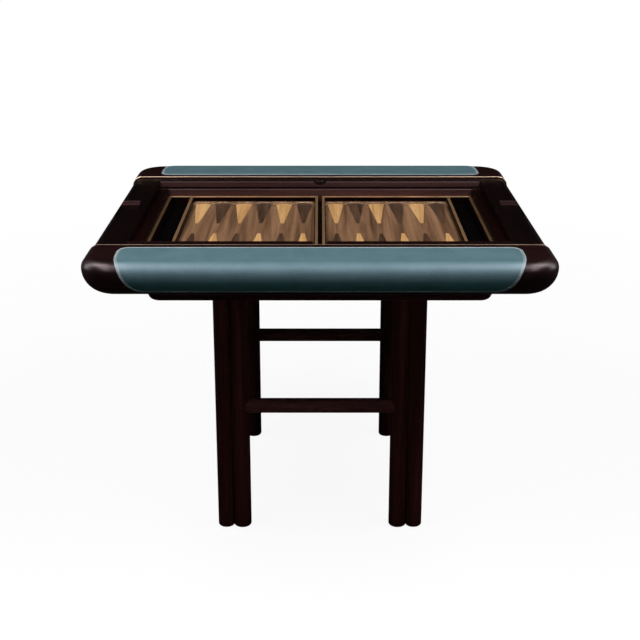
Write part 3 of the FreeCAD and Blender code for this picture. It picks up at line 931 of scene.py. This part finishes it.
# Painted shade on the welt: darker towards its bottom
welt_painted_shade = ((0.680, (0.28, 0.32, 0.32)), (0.700, (0.52, 0.58, 0.58)), (0.716, unshaded))
teal_leather = leather_finish("teal_leather", (0.064, 0.126, 0.144), (0.082, 0.154, 0.175), grain=900,
                              painted_light=teal_painted_light)
pale_welt = leather_finish("pale_leather_welt", (0.22, 0.255, 0.265), (0.29, 0.325, 0.335), grain=1200,
                           painted_light=welt_painted_shade)
thread = thread_finish()
trough_cloth = cloth_finish("black_trough_felt", (0.0010, 0.0008, 0.0008), (0.0026, 0.0021, 0.0020))
foot_cloth = cloth_finish("foot_felt", (0.03, 0.024, 0.02), (0.06, 0.048, 0.04))
steel = steel_finish()

dress_rails(rail_wood)
dress_pads(teal_leather, pale_welt, thread)
dress_legs(leg_wood)
dress_box(box_wood, stretcher_lit_wood)
dress_caps(brass)
dress_points(light_veneer, dark_veneer)

eased_nodes = {}
for side in ("left", "right"):
    eased_nodes[side + "_well_wall"] = (wood_ease, "dark_wood", well_wood)
for end in ("front", "rear"):
    eased_nodes[end + "_brass_line"] = (line_ease, "brass", line_brass)
for side in ("left", "right"):
    for wall in tray_walls:
        eased_nodes[f"{side}_tray_{wall}"] = (wood_ease, "dark_wood", well_wood)
for node, (width, slot, finish) in eased_nodes.items():
    stands_for(eased_copy(node, width), node, finish)
# Rests with a painted highlight on their eased rims
for side in ("left", "right"):
    rests = eased_copy(side + "_checker_rests", rest_ease)
    stands_for(rests, side + "_checker_rests", rest_wood)
    paint_edge_highlights(rests, rim_highlight_wood)
# Ledges: upright faces lighter as painted light, lips with a painted highlight
for node in ("front_ledge", "rear_ledge"):
    ledge = eased_copy(node, lip_ease, ledge_fold)
    stands_for(ledge, node, ledge_wood)
    paint_lit_faces(ledge, lit_face_wood, edge_highlight_wood)
# Front and rear well walls: upright faces lighter as painted light, lips and eased edges with a painted
# highlight
for node in ("front_well_wall", "rear_well_wall"):
    wall = eased_copy(node, wall_ease)
    stands_for(wall, node, well_wood)
    paint_lit_faces(wall, lit_face_wood, edge_highlight_wood)
    paint_edge_highlights(wall, edge_highlight_wood)
# Side panels: upright faces lighter as painted light
for node in ("left_side_panel", "right_side_panel"):
    panel = eased_copy(node, panel_ease)
    stands_for(panel, node, panel_wood)
    paint_lit_faces(panel, lit_face_wood, panel_wood)

plain_nodes = {"well_floor": plywood, "leg_deck": plywood, "centre_batten": tray_wood, "frame_dowels": beech,
               "floor_screws": steel, "leg_studs": steel, "flange_nuts": steel, "foot_pads": foot_cloth}
for side in ("left", "right"):
    plain_nodes.update({side + "_tray_base": tray_wood, side + "_field_panel": walnut,
                        side + "_trough_felt": trough_cloth})
for node, finish in plain_nodes.items():
    nodes[node].data.materials.clear()
    nodes[node].data.materials.append(finish)


# Studio

def visible_ray(tree, path):
    """One for rays from the camera, from gloss and through glass, zero for the rest."""
    gloss = combined(tree, "MAXIMUM", path.outputs["Is Camera Ray"], path.outputs["Is Glossy Ray"])
    return combined(tree, "MAXIMUM", gloss, path.outputs["Is Transmission Ray"])


def lay_floor():
    """Pale floor that keeps the table's shadow and runs out to white; gloss sees a painted shade near the
    table.

    Its glow goes up with the distance from the middle, in one range for the camera and one for gloss."""
    half = 60.0
    lift_start, lift_end, near_lift, far_lift = 1.2, 4.0, 0.92, 1.0
    # Painted shade for gloss: the glow and the matt colour that gloss sees are darker near the table
    shade_start, shade_end, near_shade, far_shade = 1.3, 5.0, 0.003, 0.08
    matt_level, matt_in_gloss = 0.08, 0.015
    mesh = bpy.data.meshes.new("studio_floor")
    mesh.from_pydata([(-half, -half, 0), (half, -half, 0), (half, half, 0), (-half, half, 0)], [],
                     [(0, 1, 2, 3)])
    floor = bpy.data.objects.new("studio_floor", mesh)
    bpy.context.scene.collection.objects.link(floor)
    finish = bpy.data.materials.new("pale_floor")
    finish.use_nodes = True
    tree = finish.node_tree
    tree.nodes.remove(tree.nodes["Principled BSDF"])
    path = add_node(tree, "ShaderNodeLightPath")
    coordinates = add_node(tree, "ShaderNodeTexCoord").outputs["Object"]
    away = add_node(tree, "ShaderNodeVectorMath", {0: coordinates}, operation="LENGTH").outputs["Value"]
    lift = span(tree, away, near_lift, far_lift, lift_start, lift_end)
    shade = span(tree, away, near_shade, far_shade, shade_start, shade_end)
    level = blend(tree, path.outputs["Is Camera Ray"], shade, lift)
    strength = combined(tree, "MULTIPLY", level, visible_ray(tree, path))
    glow = add_node(tree, "ShaderNodeEmission", {"Strength": strength})
    tone = blend(tree, path.outputs["Is Glossy Ray"], matt_level, matt_in_gloss)
    matt = add_node(tree, "ShaderNodeBsdfDiffuse", {"Color": tone})
    both = add_node(tree, "ShaderNodeAddShader", {0: glow.outputs[0], 1: matt.outputs[0]})
    tree.links.new(both.outputs[0], tree.nodes["Material Output"].inputs["Surface"])
    floor.data.materials.append(finish)


def light_sky():
    """White to the camera and, below the horizon, to gloss and glass; dim overhead and for soft light."""
    band_start, band_end, band_level, dim_level = -0.02, 0.0, 1.0, 0.006
    soft_level = 0.03
    world = bpy.data.worlds.new("studio")
    world.use_nodes = True
    tree = world.node_tree
    path = add_node(tree, "ShaderNodeLightPath")
    direction = add_node(tree, "ShaderNodeTexCoord").outputs["Generated"]
    height = add_node(tree, "ShaderNodeSeparateXYZ", {"Vector": direction}).outputs["Z"]
    band = span(tree, height, band_level, dim_level, band_start, band_end)
    seen = combined(tree, "MAXIMUM", band, path.outputs["Is Camera Ray"])
    strength = blend(tree, visible_ray(tree, path), soft_level, seen)
    tree.links.new(strength, tree.nodes["Background"].inputs["Strength"])
    tree.nodes["Background"].inputs["Color"].default_value = (1, 1, 1, 1)
    bpy.context.scene.world = world


def hang_lamp(name, spot, aim, size, power, cone=180):
    """Rectangular soft lamp that faces a point, with its light kept to a cone in degrees."""
    lamp = bpy.data.lights.new(name, "AREA")
    lamp.shape = "RECTANGLE"
    lamp.size, lamp.size_y = size
    lamp.energy = power
    lamp.spread = math.radians(cone)
    holder = bpy.data.objects.new(name, lamp)
    bpy.context.scene.collection.objects.link(holder)
    holder.location = spot
    away = np.array(spot) - np.array(aim)
    tilt = math.atan2(math.hypot(away[0], away[1]), away[2])
    heading = math.atan2(away[1], away[0]) + quarter_turn
    holder.rotation_euler = (tilt, 0, heading)
    return holder


def hang_lamps():
    """Softboxes overhead, low fills for the legs that gloss doesn't see, and lamps that only gloss sees.

    Those are a strip at each side, and panels before and behind the softboxes."""
    sides = (("left", -1), ("right", 1))
    edge_x, edge_y, edge_z = 0.2, -0.5, 0.7
    for side, way in sides:
        hang_lamp(side + "_softbox", spot=(way * 1.55, -0.8, 2.95), aim=(way * edge_x, edge_y, edge_z),
                  size=(2.2, 1.3), power=74.0)
    for end, way in (("front", -1), ("rear", 1)):
        fill = hang_lamp(end + "_leg_fill", spot=(0.0, way * 2.8, 0.42), aim=(0.0, 0.0, 0.44),
                         size=(1.6, 0.4), power=0.75, cone=26)
        fill.visible_glossy = False
    for side, way in sides:
        strip = hang_lamp(side + "_strip", spot=(way * 2.1, 0.05, 1.75), aim=(way * 0.5, -0.5, 0.72),
                          size=(0.7, 2.0), power=20.0)
        strip.visible_diffuse = False
        for end, y, z, power in (("front", -2.50, 2.70, 17.0), ("rear", 0.75, 2.95, 3.0)):
            panel = hang_lamp(f"{side}_{end}_panel", spot=(way * 1.65, y, z),
                              aim=(way * edge_x, edge_y, edge_z), size=(1.0, 1.0), power=power)
            panel.visible_diffuse = False


def set_camera():
    """Camera that looks down on the front of the table, as in the photograph."""
    pitch = 18.6
    camera = bpy.data.objects.new("camera", bpy.data.cameras.new("camera"))
    camera.data.sensor_width = 36.0
    camera.data.lens = 71.1
    camera.location = (0.0, -3.103, 1.488)
    camera.rotation_euler = (math.radians(90 - pitch), 0, 0)
    bpy.context.scene.collection.objects.link(camera)
    bpy.context.scene.camera = camera


bpy.context.scene.view_settings.view_transform = "Standard"
lay_floor()
light_sky()
hang_lamps()
set_camera()
